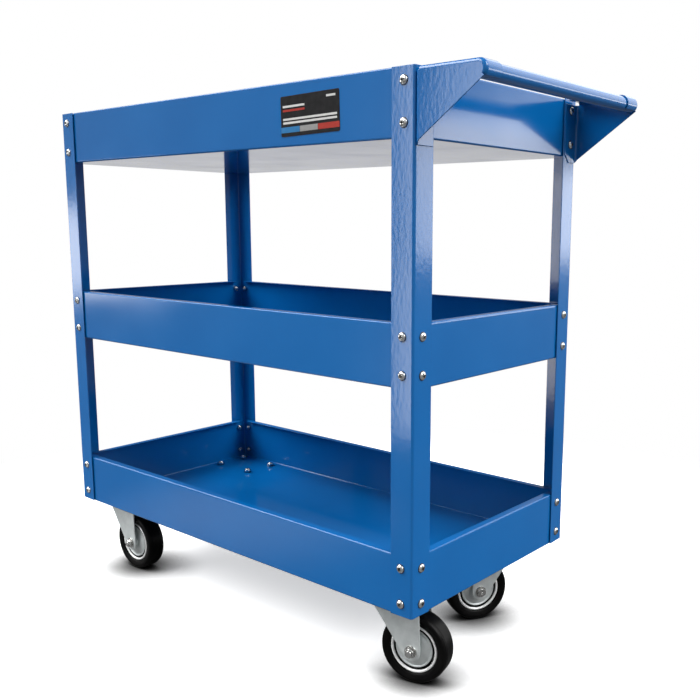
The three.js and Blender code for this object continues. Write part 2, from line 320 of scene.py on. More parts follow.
def face_outward(bm, direction, tolerance=0.9):
    """Turns an open sheet so that its faces that lie across a direction look along it."""
    bmesh.ops.recalc_face_normals(bm, faces=bm.faces)
    bm.normal_update()
    largest = max(bm.faces, key=lambda face: face.calc_area() * (abs(face.normal.dot(direction)) > tolerance))
    if largest.normal.dot(direction) < 0:
        bmesh.ops.reverse_faces(bm, faces=bm.faces)


def to_mesh(bm, name, materials):
    bm.transform(Matrix.Scale(MM, 4))
    mesh = bpy.data.meshes.new(name)
    bm.to_mesh(mesh)
    bm.free()
    for polygon in mesh.polygons:
        polygon.use_smooth = True
    for material in materials:
        mesh.materials.append(material)
    return mesh


def add_modifiers(obj, sheet=0.0, edge=0.3):
    """Gives a sheet its thickness, rounds the cut edges and evens out the shading."""
    if sheet:
        solid = obj.modifiers.new("sheet", "SOLIDIFY")
        solid.thickness = sheet * MM
        solid.offset = -1.0
        solid.use_even_offset = True
    if edge:
        bevel = obj.modifiers.new("edges", "BEVEL")
        bevel.width = edge * MM
        bevel.segments = 2
        bevel.limit_method = "ANGLE"
        bevel.angle_limit = math.radians(38)
    normals = obj.modifiers.new("normals", "WEIGHTED_NORMAL")
    normals.keep_sharp = True


def add_piece(name, mesh, body, slot, matrix=CART, nodes=(), **modifiers):
    obj = bpy.data.objects.new(name, mesh)
    bpy.context.scene.collection.objects.link(obj)
    obj.matrix_world = matrix
    add_modifiers(obj, **modifiers)
    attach(obj, body)
    if nodes:
        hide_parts(*nodes)
    return obj


def arc(cx, cy, radius, start, end, steps):
    """Points on an arc, with angles in degrees."""
    angles = [math.radians(start + (end - start) * i / steps) for i in range(steps + 1)]
    return [(cx + radius * math.cos(a), cy + radius * math.sin(a)) for a in angles]


# ---- posts: L-angles whose legs spring open a little ----
def post_mesh():
    bend, leg, sheet = POST_BEND, LEG, POST_SHEET
    outline = [(-leg, POST_FLARE - sheet)]
    outline += arc(-bend, -bend, bend - sheet, 90, 0, 8)
    outline += [(POST_FLARE - sheet, -leg), (POST_FLARE, -leg)]
    outline += arc(-bend, -bend, bend, 0, 90, 8)
    outline += [(-leg, POST_FLARE)]
    bm = bmesh.new()
    levels = [POST_FOOT + (POST_HEIGHT - POST_FOOT) * i / 4 for i in range(5)]
    rows = [row_of(bm, [(x, y, z) for x, y in outline]) for z in levels]
    add_faces(bm, rows, closed=True)
    bm.faces.new(rows[0])
    bm.faces.new(list(reversed(rows[-1])))
    bmesh.ops.recalc_face_normals(bm, faces=bm.faces)
    return to_mesh(bm, "post", [PEEL_PAINT])


def add_posts():
    mesh = post_mesh()
    turns = {(1, 1): 0, (-1, 1): 90, (-1, -1): 180, (1, -1): 270}
    for name, (sx, sy) in CORNERS.items():
        place = CART @ Matrix.Translation((sx * HALF_X * MM, sy * HALF_Y * MM, 0))
        place = place @ Matrix.Rotation(math.radians(turns[sx, sy]), 4, "Z")
        add_piece(f"post_angle_{name}", mesh, "cart", "blue_paint", place, [f"post_{name}"], edge=0.65)


# ---- trays: folded pans with a return lip on each wall ----
def tray_ring(bm, half_x, half_y, inset, z):
    """Vertices round the pan: the arc of each corner, then the two lip stops of the side after it."""
    points = []
    stops = {0: ("x", 1), 1: ("y", 1), 2: ("x", -1), 3: ("y", -1)}
    for i, (sx, sy) in enumerate(((1, 1), (-1, 1), (-1, -1), (1, -1))):
        cx, cy = sx * (half_x - TRAY_CORNER), sy * (half_y - TRAY_CORNER)
        points += arc(cx, cy, TRAY_CORNER - inset, 90 * i, 90 * (i + 1), 6)
        along, sign = stops[i]
        if along == "x":
            side = sign * (half_y - inset)
            points += [(sign * (half_x - LIP_STOP), side), (-sign * (half_x - LIP_STOP), side)]
        else:
            side = -sign * (half_x - inset)
            points += [(side, sign * (half_y - LIP_STOP)), (side, -sign * (half_y - LIP_STOP))]
    return row_of(bm, [(x, y, z) for x, y in points])


def tray_lip(bm, first, second, inward):
    """The bend and the flat of one lip, from the two wall vertices where it starts and ends."""
    along = (second.co - first.co).normalized()
    rows = [[first, second]]
    for step in range(1, 6):
        angle = math.radians(90 * step / 5)
        inset = LIP_BEND * (1 - math.cos(angle))
        rise = Vector((0, 0, LIP_BEND * math.sin(angle)))
        shift = inward * inset + along * inset * 0.5
        back = inward * inset - along * inset * 0.5
        rows.append(row_of(bm, [first.co + shift + rise, second.co + back + rise]))
    rise = Vector((0, 0, LIP_BEND))
    rows.append(row_of(bm, [first.co + inward * LIP + along * LIP * 0.5 + rise,
                            second.co + inward * LIP - along * LIP * 0.5 + rise]))
    add_faces(bm, rows)


def tray_mesh(name, half_x, half_y):
    bm = bmesh.new()
    rings = []
    for step in range(7):
        angle = math.radians(90 * step / 6)
        inset = FLOOR_BEND * (1 - math.sin(angle))
        rings.append(tray_ring(bm, half_x, half_y, inset, FLOOR_BEND * (1 - math.cos(angle))))
    rings.append(tray_ring(bm, half_x, half_y, 0, TRAY_DEPTH - LIP_BEND))
    add_faces(bm, rings, closed=True)
    bm.faces.new(rings[0])
    wall_top = rings[-1]
    rim = tray_ring(bm, half_x, half_y, 0, TRAY_DEPTH)
    count = len(rim)
    inwards = [Vector((0, -1, 0)), Vector((1, 0, 0)), Vector((0, 1, 0)), Vector((-1, 0, 0))]
    for side in range(4):
        stop = side * 9 + 7
        tray_lip(bm, wall_top[stop], wall_top[stop + 1], inwards[side])
        for i in range(stop + 1, stop + 9):
            a, b = i % count, (i + 1) % count
            bm.faces.new((wall_top[a], wall_top[b], rim[b], rim[a]))
    loose = [vert for vert in bm.verts if not vert.link_faces]
    bmesh.ops.delete(bm, geom=loose, context="VERTS")
    face_outward(bm, Vector((0, 0, -1)))
    return to_mesh(bm, name, [PAINT])


def add_trays():
    half_x = HALF_X - POST_SHEET - GAP
    half_y = HALF_Y - POST_SHEET - GAP
    mesh = tray_mesh("tray", half_x, half_y)
    for level in ("bottom", "middle", "top"):
        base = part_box(f"tray_{level}")[0].z - DECK
        place = CART @ Matrix.Translation((0, 0, base))
        add_piece(f"tray_pan_{level}", mesh, "cart", "blue_paint", place, [f"tray_{level}"],
                  sheet=TRAY_SHEET, edge=0.25)


# ---- handle ----
def bracket_mesh(name, back, nose_x, nose_z, foot, chamfer):
    """A folded bracket in millimetres: the plate lies in y = 0 and its folds go towards +y."""
    top = nose_z + NOSE_RADIUS
    bend = BRACKET_BEND
    dx, dz = nose_x - back, nose_z - foot
    slope = math.atan2(dz, dx) + math.asin(NOSE_RADIUS / math.hypot(dx, dz))
    edge_path = [((back + bend, top), (0, 1)), (((back + nose_x) / 2, top), (0, 1))]
    for x, z in arc(0, 0, 1.0, 90, math.degrees(slope) - 90, 14):
        edge_path.append(((nose_x + NOSE_RADIUS * x, nose_z + NOSE_RADIUS * z), (x, z)))
    bm = bmesh.new()
    rows = []
    for step in range(6):
        angle = math.radians(90 * step / 5)
        inset, y = bend * (1 - math.sin(angle)), bend * (1 - math.cos(angle))
        rows.append(row_of(bm, [(px - nx * inset, y, pz - nz * inset) for (px, pz), (nx, nz) in edge_path]))
    rows.append(row_of(bm, [(px, BRACKET_WIDTH, pz) for (px, pz), _ in edge_path]))
    add_faces(bm, rows)
    flange = []
    for step in range(6):
        angle = math.radians(90 * step / 5)
        inset, y = bend * (1 - math.sin(angle)), bend * (1 - math.cos(angle))
        low = foot + inset * math.tan(slope)
        start = rows[0][0] if step == 0 else bm.verts.new((back + inset, y, top - bend))
        flange.append([start, bm.verts.new((back + inset, y, low))])
    add_faces(bm, flange)
    upper, lower = flange[-1]
    outline = [upper, lower]
    outline += row_of(bm, [(back, BRACKET_WIDTH - chamfer, foot), (back, BRACKET_WIDTH, foot + chamfer)]
                      if chamfer else [(back, BRACKET_WIDTH, foot)])
    outline += row_of(bm, [(back, BRACKET_WIDTH, top - bend)])
    bm.faces.new(outline)
    (tip_x, tip_z), _ = edge_path[-1]
    tip = bm.verts.new((tip_x, 0, tip_z))
    bm.faces.new(rows[0] + [tip, flange[0][1]])
    face_outward(bm, Vector((0, -1, 0)))
    return to_mesh(bm, name, [PEEL_PAINT])


def add_handle():
    for side, sign in (("left", 1), ("right", -1)):
        low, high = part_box(f"handle_bracket_{side}")
        back = (low.x - MIDDLE_X) / MM
        nose_x = (high.x - MIDDLE_X) / MM - NOSE_RADIUS
        nose_z = (high.z - DECK) / MM - NOSE_RADIUS
        foot = (low.z - DECK) / MM
        chamfer = BRACKET_CHAMFER if side == "right" else 0
        mesh = bracket_mesh(f"bracket_{side}", back, nose_x, nose_z, foot, chamfer)
        if sign < 0:
            mesh.transform(Matrix.Scale(-1, 4, (0, 1, 0)))
            mesh.flip_normals()
        place = CART @ Matrix.Translation((0, -sign * HALF_Y * MM, 0))
        add_piece(f"bracket_{side}", mesh, "cart", "blue_paint", place, [f"handle_bracket_{side}"],
                  sheet=BRACKET_SHEET, edge=0.6)
    low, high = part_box("handle_tube")
    half = (high.y - low.y) / 2 / MM
    radius = TUBE_RADIUS
    bore = radius - TUBE_WALL
    profile = [(bore, -half), (radius - 0.4, -half), (radius, -half + 0.4)]
    profile += [(radius, half * i / 4) for i in range(-3, 4)]
    profile += [(radius, half - 0.4), (radius - 0.4, half), (bore, half), (bore, -half)]
    mesh = to_mesh(lathe(profile, 64), "tube", [PEEL_PAINT])
    centre = (low + high) / 2
    place = Matrix.Translation(centre) @ Matrix.Rotation(math.radians(90), 4, "X")
    add_piece("push_tube", mesh, "cart", "blue_paint", place, ["handle_tube"], edge=0)


# ---- label: a plain film with printed rules and a three-part stripe, and no lettering ----
def rounded_plate(name, length, height, thickness, corner, material, edge_steps=4):
    bm = bmesh.new()
    outline = []
    for i, (sx, sz) in enumerate(((1, 1), (-1, 1), (-1, -1), (1, -1))):
        cx, cz = sx * (length / 2 - corner), sz * (height / 2 - corner)
        outline += arc(cx, cz, corner, 90 * i, 90 * i + 90, edge_steps)
    rows = [row_of(bm, [(x, 0, z) for x, z in outline]), row_of(bm, [(x, -thickness, z) for x, z in outline])]
    add_faces(bm, rows, closed=True)
    bm.faces.new(rows[0])
    bm.faces.new(list(reversed(rows[1])))
    bmesh.ops.recalc_face_normals(bm, faces=bm.faces)
    return to_mesh(bm, name, [material])


FILM_SHEET = 0.5
# Each print: name, ink, centre along and width in shares of the length, centre up and height in
# shares of the height.
LABEL_PRINTS = [
    ("rule_top_right", PALE_INK, 0.365, 0.15, 0.37, 0.052),
    ("rule_top_left", PALE_INK, -0.27, 0.38, 0.24, 0.052),
    ("rule_short", RED_INK, -0.27, 0.38, 0.14, 0.052),
    ("rule_upper", PALE_INK, 0, 0.92, -0.075, 0.052),
    ("rule_lower", PALE_INK, 0, 0.92, -0.165, 0.052),
    ("stripe_blue", BLUE_INK, -0.335, 0.325, -0.335, 0.14),
    ("stripe_grey", GREY_INK, -0.015, 0.305, -0.335, 0.14),
    ("stripe_red", RED_INK, 0.32, 0.355, -0.335, 0.14),
]


def add_label():
    low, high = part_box("label_plate")
    centre = (low + high) / 2
    length, height = (high.x - low.x) / MM, (high.z - low.z) / MM
    place = Matrix.Translation((centre.x, high.y, centre.z))
    place = place @ Matrix.Rotation(math.radians(-LABEL_TILT), 4, "Y")
    film = rounded_plate("label_film", length, height, FILM_SHEET, 2.0, FILM)
    add_piece("label_film", film, "cart", "label", place, ["label_plate"], edge=0.1)
    for name, ink, x, wide, z, tall in LABEL_PRINTS:
        mesh = rounded_plate(f"label_{name}", wide * length, tall * height, 0.08, 0.2, ink, 1)
        spot = place @ Matrix.Translation((x * length * MM, -FILM_SHEET * MM, z * height * MM))
        add_piece(f"label_{name}", mesh, "cart", "label", spot, edge=0)


# ---- screws, nuts and bolts ----
def hex_radius(angle, flats):
    return flats / 2 / math.cos((angle + math.pi / 6) % (math.pi / 3) - math.pi / 6)


def hex_rows(bm, flats, z0, z1, segments=36):
    """Rows of a hexagonal prism with a turned chamfer on its outer end."""
    chamfer = flats / 2 * 0.97
    angles = [2 * math.pi * i / segments for i in range(segments)]
    radii = [hex_radius(a, flats) for a in angles]
    levels = []
    levels.append([(r * math.cos(a), r * math.sin(a), z0) for a, r in zip(angles, radii)])
    levels.append([(r * math.cos(a), r * math.sin(a), z1 - max(0.0, r - chamfer) * 0.6)
                   for a, r in zip(angles, radii)])
    levels.append([(chamfer * math.cos(a), chamfer * math.sin(a), z1) for a in angles])
    return [row_of(bm, level) for level in levels]


def thread_profile(radius, z0, z1, pitch=1.0):
    count = max(1, int(round((z1 - z0) / pitch)))
    step = (z1 - z0) / count
    points = []
    for i in range(count):
        points += [(radius - 0.35, z0 + step * i), (radius, z0 + step * (i + 0.5))]
    return points + [(radius - 0.5, z1), (radius - 0.9, z1 + 0.35), (0, z1 + 0.35)]


def nut_bolt_mesh(name, flats, height, shank, end):
    """A nut lying on z = 0 with the end of its bolt standing out of it."""
    bm = bmesh.new()
    rows = hex_rows(bm, flats, 0, height)
    add_faces(bm, rows, closed=True)
    collar = shank + 0.5
    count = len(rows[-1])
    angles = [2 * math.pi * i / count for i in range(count)]
    inner = row_of(bm, [(collar * math.cos(a), collar * math.sin(a), height) for a in angles])
    throat = row_of(bm, [(shank * math.cos(a), shank * math.sin(a), height - 0.5) for a in angles])
    add_faces(bm, [rows[-1], inner, throat], closed=True)
    bm.faces.new(rows[0])
    profile = [(0, height - 1.5), (shank - 0.4, height - 1.5)]
    profile += thread_profile(shank - 0.05, height - 1.4, height + end)
    bolt = lathe(profile, 24)
    merged = bpy.data.meshes.new("bolt_end")
    bolt.to_mesh(merged)
    bolt.free()
    bm.from_mesh(merged)
    bpy.data.meshes.remove(merged)
    bmesh.ops.recalc_face_normals(bm, faces=bm.faces)
    return to_mesh(bm, name, [STEEL])


def cross_recess_head():
    """A pan head with a cross recess, cut once and shared by all the tray screws. The recess and a thin
    washer ring under the head are painted black as painted shade.
    """
    profile = [(0, 3.15), (1.4, 3.12), (2.8, 2.98), (4.0, 2.65), (4.9, 2.15), (5.5, 1.5), (5.75, 0.85),
               (5.75, 0.5), (6.3, 0.45), (6.5, 0.3), (6.5, 0.0), (0, 0.0)]
    # The washer ring under the head, the last four segments, is painted black as painted shade.
    shades = [0] * 7 + [1] * 4
    head = bpy.data.objects.new("head", to_mesh(lathe(profile, 40, shades), "screw_head", [STEEL, SHADE_BLACK]))
    bpy.context.scene.collection.objects.link(head)
    cutters = []
    for turn in (20, 110):
        bm = bmesh.new()
        top = row_of(bm, [(-3.4, -1.0, 4), (3.4, -1.0, 4), (3.4, 1.0, 4), (-3.4, 1.0, 4)])
        low = row_of(bm, [(-1.6, -0.6, 1.0), (1.6, -0.6, 1.0), (1.6, 0.6, 1.0), (-1.6, 0.6, 1.0)])
        add_faces(bm, [top, low], closed=True)
        bm.faces.new(top)
        bm.faces.new(list(reversed(low)))
        bmesh.ops.recalc_face_normals(bm, faces=bm.faces)
        bm.transform(Matrix.Rotation(math.radians(turn), 4, "Z"))
        # The cutters carry the black, so the cut recess is painted black as painted shade.
        for face in bm.faces:
            face.material_index = 1
        cutter = bpy.data.objects.new("cutter", to_mesh(bm, "cutter", [STEEL, SHADE_BLACK]))
        bpy.context.scene.collection.objects.link(cutter)
        cut = head.modifiers.new("cut", "BOOLEAN")
        cut.operation = "DIFFERENCE"
        cut.solver = "EXACT"
        cut.object = cutter
        cutters.append(cutter)
    bpy.context.view_layer.update()
    evaluated = head.evaluated_get(bpy.context.evaluated_depsgraph_get())
    mesh = bpy.data.meshes.new_from_object(evaluated)
    mesh.name = "cross_screw"
    for obj in [head, *cutters]:
        bpy.data.objects.remove(obj)
    mesh.set_sharp_from_angle(angle=math.radians(32))
    return mesh


def face_matrix(x, y, z, outward, spin):
    """A place in cart millimetres whose Z looks along outward, turned by spin degrees about it."""
    normal = Vector(outward)
    turn = normal.to_track_quat("Z", "Y").to_matrix().to_4x4()
    spot = Matrix.Translation((x * MM, y * MM, z * MM))
    return CART @ spot @ turn @ Matrix.Rotation(math.radians(spin), 4, "Z")


def add_tray_screws():
    screw = cross_recess_head()
    nut = nut_bolt_mesh("tray_nut", *TRAY_NUT)
    wall = POST_SHEET + GAP + TRAY_SHEET
    spins = {"bottom": 8, "middle": 31, "top": 55}
    for corner, (sx, sy) in CORNERS.items():
        for level in ("bottom", "middle", "top"):
            base = (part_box(f"tray_{level}")[0].z - DECK) / MM
            inset = SCREW_INSET[level]
            for row, height in (("low", SCREW_LOW), ("high", SCREW_HIGH)):
                z = base + height
                spin = spins[level] + 17 * (row == "high") + 26 * sx + 11 * sy
                flare = POST_FLARE * inset / LEG
                x, y = sx * (HALF_X - inset), sy * (HALF_Y + flare)
                tag = f"{corner}_{level}_{row}"
                add_piece(f"screw_side_{tag}", screw, "cart", "bright_steel",
                          face_matrix(x, y, z, (0, sy, 0), spin), edge=0)
                add_piece(f"nut_side_{tag}", nut, "cart", "bright_steel",
                          face_matrix(x, sy * (HALF_Y - wall), z, (0, -sy, 0), spin + 9), edge=0)
                through_flange = level == "top" and sx > 0
                face = HALF_X + (BRACKET_SHEET + GAP if through_flange else flare)
                y = sy * (HALF_Y - inset)
                add_piece(f"screw_end_{tag}", screw, "cart", "bright_steel",
                          face_matrix(sx * face, y, z, (sx, 0, 0), spin + 40), edge=0)
                add_piece(f"nut_end_{tag}", nut, "cart", "bright_steel",
                          face_matrix(sx * (HALF_X - wall), y, z, (-sx, 0, 0), spin + 21), edge=0)


# ---- casters, modelled with the swivel axis on Z, the deck at z = 0 and the axle towards +X ----
def fork_leg_outline(rise):
    """Side outline of a leg below the crown bend: slanted front, round eye, upright rear."""
    run = FORK_TOE - TRAIL
    height = CROWN_TOP - AXLE_Z
    slant = math.degrees(math.atan2(height, run) + math.acos(FORK_EYE / math.hypot(run, height)))
    start_x = TRAIL + FORK_EYE * math.cos(math.radians(slant))
    start_z = AXLE_Z + FORK_EYE * math.sin(math.radians(slant))
    share = (CROWN_TOP - rise - start_z) / (CROWN_TOP - start_z)
    front = (start_x + (FORK_TOE - start_x) * share, CROWN_TOP - rise)
    eye = arc(TRAIL, AXLE_Z, FORK_EYE, slant, 360, 20)
    return [front, *eye, (TRAIL + FORK_EYE - FORK_LEAN, CROWN_TOP - rise)]


def pinched(x, sign, y):
    """The front part of a leg, ahead of the crease, leans in towards the toe."""
    return sign * (y - max(0.0, FORK_CREASE - x) * FORK_PINCH)


def fork_mesh():
    bm = bmesh.new()
    crowns = []
    for sign in (-1, 1):
        rows = []
        for step in range(7):
            angle = math.radians(90 * step / 6)
            rise = FORK_BEND * (1 - math.sin(angle))
            y = FORK_HALF - FORK_BEND * (1 - math.cos(angle))
            outline = fork_leg_outline(rise)
            level = outline[0][1]
            row = [outline[0], (FORK_CREASE, level), outline[-1]]
            rows.append(row_of(bm, [(x, pinched(x, sign, y), z) for x, z in row]))
        add_faces(bm, rows)
        eye = fork_leg_outline(FORK_BEND)[1:-1]
        split = max(i for i, (x, z) in enumerate(eye[:len(eye) // 2 + 4]) if x < FORK_CREASE)
        share = (FORK_CREASE - eye[split][0]) / (eye[split + 1][0] - eye[split][0])
        foot = (FORK_CREASE, eye[split][1] + share * (eye[split + 1][1] - eye[split][1]))
        front = row_of(bm, [(x, pinched(x, sign, FORK_HALF), z) for x, z in eye[:split + 1]])
        crease = row_of(bm, [(foot[0], sign * FORK_HALF, foot[1])])
        back = row_of(bm, [(x, sign * FORK_HALF, z) for x, z in eye[split + 1:]])
        bm.faces.new([rows[0][0], *front, *crease, rows[0][1]])
        bm.faces.new([rows[0][1], *crease, *back, rows[0][2]])
        crowns.append(rows[-1])
    bm.faces.new([*crowns[0], *reversed(crowns[1])])
    bmesh.ops.remove_doubles(bm, verts=bm.verts, dist=1e-4)
    face_outward(bm, Vector((0, 0, 1)))
    return to_mesh(bm, "fork", [ZINC])


def mirrored(half):
    return half + [(radius, -height) for radius, height in reversed(half)]


def wheel_core_mesh():
    """Rim ring, groove painted black as painted shade of the recess, domed hub disc and boss, turned about Z.
    """
    boss = [(AXLE_RADIUS + 0.3, HUB_HALF), (8.6, HUB_HALF), (9.2, HUB_HALF - 0.6), (9.4, 14.8)]
    disc = [(10.4, 14.1), (14.0, 13.9), (18.0, 13.4), (21.5, 12.5), (24.0, 11.4), (25.0, 11.2), (25.9, 11.6),
            (26.8, 12.2), (27.6, 12.3), (28.2, 11.8), (28.4, 10.8)]
    groove = [(28.6, 5.0), (31.6, 5.0)]
    ring = [(31.8, 11.2), (32.1, 12.4), (32.8, 13.2), (33.8, 13.6), (34.8, 13.4), (35.5, 12.8), (35.8, 12.0)]
    profile = mirrored(boss + disc + groove + ring)
    profile.append(profile[0])
    shades = []
    for (r0, _), (r1, _) in zip(profile, profile[1:]):
        middle = (r0 + r1) / 2
        # The groove is painted black as painted shade of the recess; the ring takes the rim colour with its
        # painted reflection.
        shades.append(0 if middle < 28.45 else 1 if middle <= 31.75 else 2)
    return to_mesh(lathe(profile, 96, shades), "wheel_core", [ZINC, SHADE_BLACK, RIM_AND_REFLECTION])


def tyre_mesh():
    half = [(35.8, 12.6), (37.2, 14.0), (39.4, 15.0), (42.0, 15.5), (42.4, 15.8), (44.5, 16.2), (46.4, 16.2),
            (47.8, 15.7), (48.9, 14.8), (49.5, 13.9), (49.3, 13.5), (49.9, 13.1), (50.4, 12.0), (50.6, 11.0),
            (50.3, 10.6), (50.8, 10.1), (50.95, 8.0), (51.0, 4.0), (51.0, 0.0)]
    profile = half + [(radius, -height) for radius, height in reversed(half[:-1])]
    profile.append(profile[0])
    return to_mesh(lathe(profile, 128), "tyre", [RUBBER])


def washer_mesh():
    """The washer that lies on the outer face of a fork leg."""
    face, top = FORK_HALF, FORK_HALF + WASHER
    profile = [(0, face), (8.9, face), (9.2, face + 0.3), (9.2, top - 0.3), (8.9, top), (0, top)]
    return to_mesh(lathe(profile, 40), "washer", [STEEL])


def joined(name, parts):
    """One steel mesh out of several, which are in metres already."""
    bm = bmesh.new()
    for part in parts:
        bm.from_mesh(part)
        bpy.data.meshes.remove(part)
    bm.transform(Matrix.Scale(1 / MM, 4))
    return to_mesh(bm, name, [STEEL])


def axle_mesh():
    """Hex head with a washer at +Z and a plain shank through both legs."""
    head = nut_bolt_mesh("axle_head", *AXLE_HEAD)
    head.transform(Matrix.Translation((0, 0, (FORK_HALF + WASHER) * MM)))
    reach = FORK_HALF + 2
    shank = to_mesh(lathe([(0, -reach), (AXLE_RADIUS, -reach), (AXLE_RADIUS, reach), (0, reach)], 32),
                    "shank", [STEEL])
    return joined("axle", (head, shank, washer_mesh()))


def axle_nut_mesh():
    """Washer, nut and bolt end at +Z; it is turned over to the far leg when it is placed."""
    nut = nut_bolt_mesh("axle_nut_hex", *AXLE_NUT)
    nut.transform(Matrix.Translation((0, 0, (FORK_HALF + WASHER) * MM)))
    return joined("axle_nut", (nut, washer_mesh()))


def dress_cad_node(name, material, edge):
    """A CAD node whose shape is right keeps it, with rounded edges and a procedural material."""
    obj = frame["nodes"][name]
    for index in range(len(obj.material_slots)):
        obj.material_slots[index].material = material
    if not obj.material_slots:
        obj.data.materials.append(material)
    for polygon in obj.data.polygons:
        polygon.use_smooth = True
    add_modifiers(obj, edge=edge)


def caster_places(corner):
    """World matrices of the swivel head and of the wheel, from the joints."""
    swivel = Vector(JOINTS[f"caster_swivel_{corner}"]["pos_m"])
    axle = Vector(JOINTS[f"wheel_spin_{corner}"]["pos_m"])
    heading = math.atan2(axle.y - swivel.y, axle.x - swivel.x)
    turn = Matrix.Rotation(heading, 4, "Z")
    head = Matrix.Translation((swivel.x, swivel.y, DECK)) @ turn
    wheel = Matrix.Translation(axle) @ turn @ Matrix.Rotation(math.radians(-90), 4, "X")
    return head, wheel


def add_casters():
    fork, core, tyre = fork_mesh(), wheel_core_mesh(), tyre_mesh()
    axle, axle_nut = axle_mesh(), axle_nut_mesh()
    bolt_nut = nut_bolt_mesh("caster_nut", *CASTER_NUT)
    bolt_head = nut_bolt_mesh("caster_bolt_head", *CASTER_HEAD)
    over = Matrix.Rotation(math.radians(180), 4, "X")
    for corner in CORNERS:
        head, wheel = caster_places(corner)
        swivel_body, wheel_body = f"swivel_{corner}", f"wheel_{corner}"
        add_piece(f"caster_fork_{corner}", fork, swivel_body, "zinc", head, [f"fork_{corner}"],
                  sheet=FORK_SHEET, edge=0.9)
        add_piece(f"axle_pin_{corner}", axle, swivel_body, "bright_steel", wheel,
                  [f"axle_bolt_{corner}"], edge=0)
        add_piece(f"axle_lock_nut_{corner}", axle_nut, swivel_body, "bright_steel", wheel @ over,
                  [f"axle_nut_{corner}"], edge=0)
        add_piece(f"wheel_hub_{corner}", core, wheel_body, "zinc", wheel, [f"wheel_core_{corner}"], edge=0)
        add_piece(f"wheel_tyre_{corner}", tyre, wheel_body, "tyre", wheel, [f"tyre_{corner}"], edge=0)
        dress_cad_node(f"caster_plate_{corner}", ZINC, 0.3)
        dress_cad_node(f"ball_race_{corner}", ZINC, 0.3)
        dress_cad_node(f"kingpin_{corner}", STEEL, 0.3)
        for i in range(1, 5):
            node = f"caster_bolt_{corner}_{i}"
            low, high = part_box(node)
            x, y = (low.x + high.x) / 2, (low.y + high.y) / 2
            spin = Matrix.Rotation(math.radians(23 * i), 4, "Z")
            top = Matrix.Translation((x, y, DECK + (TRAY_SHEET + 0.1) * MM)) @ spin
            under = Matrix.Translation((x, y, low.z + CASTER_HEAD[1] * MM)) @ over @ spin
            add_piece(f"caster_bolt_nut_{corner}_{i}", bolt_nut, "cart", "bright_steel", top, [node], edge=0)
            add_piece(f"caster_bolt_head_{corner}_{i}", bolt_head, "cart", "bright_steel", under, edge=0)


# ---- stage, light and camera ----
FLOOR_RADIUS = 1.5
FADE_START, FADE_END = 0.75, 1.25
CONTACT_REACH, CONTACT_POWER, PAPER_GLOW = 0.085, 3.8, 0.42
DIM_GREY, LIT_GREY = 0.12, 0.46
PATCH_CENTRE, PATCH_EDGE, PATCH_CORE = (-0.42, -0.60, 0.0), 0.46, 0.10


def paper_shader(tree, coords):
    """White paper with a soft contact shadow, fading to plain white with distance."""
    shade = tree.nodes.new("ShaderNodeAmbientOcclusion")
    shade.inputs["Distance"].default_value = CONTACT_REACH
    contact = math_node(tree, "POWER", shade.outputs["AO"], CONTACT_POWER)
    paper = tree.nodes.new("ShaderNodeBsdfDiffuse")
    tree.links.new(contact, paper.inputs["Color"])
    glow = tree.nodes.new("ShaderNodeEmission")
    tree.links.new(math_node(tree, "MULTIPLY", contact, PAPER_GLOW), glow.inputs["Strength"])
    near = tree.nodes.new("ShaderNodeAddShader")
    tree.links.new(paper.outputs[0], near.inputs[0])
    tree.links.new(glow.outputs[0], near.inputs[1])
    far = tree.nodes.new("ShaderNodeEmission")
    fade = distance_from(tree, coords, (0.0, 0.0, 0.0), FADE_START, FADE_END)
    return mix_node(tree, fade, near.outputs[0], far.outputs[0])


def floor_material():
    """Paper to the camera; a dim floor with a lit patch in reflections."""
    material = bpy.data.materials.new("floor_white")
    material.use_nodes = True
    tree = material.node_tree
    tree.nodes.clear()
    coords = tree.nodes.new("ShaderNodeTexCoord")
    patch = distance_from(tree, coords, PATCH_CENTRE, PATCH_EDGE, PATCH_CORE)
    reflected = mix_node(tree, patch, diffuse_node(tree, DIM_GREY), diffuse_node(tree, LIT_GREY))
    path = tree.nodes.new("ShaderNodeLightPath")
    output = tree.nodes.new("ShaderNodeOutputMaterial")
    seen = mix_node(tree, path.outputs["Is Camera Ray"], reflected, paper_shader(tree, coords))
    tree.links.new(seen, output.inputs["Surface"])
    return material


def add_floor():
    bm = bmesh.new()
    bmesh.ops.create_circle(bm, cap_ends=True, radius=FLOOR_RADIUS, segments=96)
    mesh = bpy.data.meshes.new("floor")
    bm.to_mesh(mesh)
    bm.free()
    mesh.materials.append(floor_material())
    floor = bpy.data.objects.new("floor", mesh)
    bpy.context.scene.collection.objects.link(floor)


def window(tree, value, low, high, soft):
    """1 between low and high, falling to 0 over soft on both sides."""
    rise = tree.nodes.new("ShaderNodeMapRange")
    fall = tree.nodes.new("ShaderNodeMapRange")
    for node, start, end in ((rise, low - soft, low + soft), (fall, high + soft, high - soft)):
        node.interpolation_type = "SMOOTHSTEP"
        node.inputs["From Min"].default_value = start
        node.inputs["From Max"].default_value = end
        tree.links.new(value, node.inputs["Value"])
    return math_node(tree, "MULTIPLY", rise.outputs["Result"], fall.outputs["Result"])


# The dim glow all round, as (elevation in degrees, radiance); it is even below the first and above
# the second.
GLOW_LOW, GLOW_HIGH = (-25.0, 0.12), (8.0, 0.46)
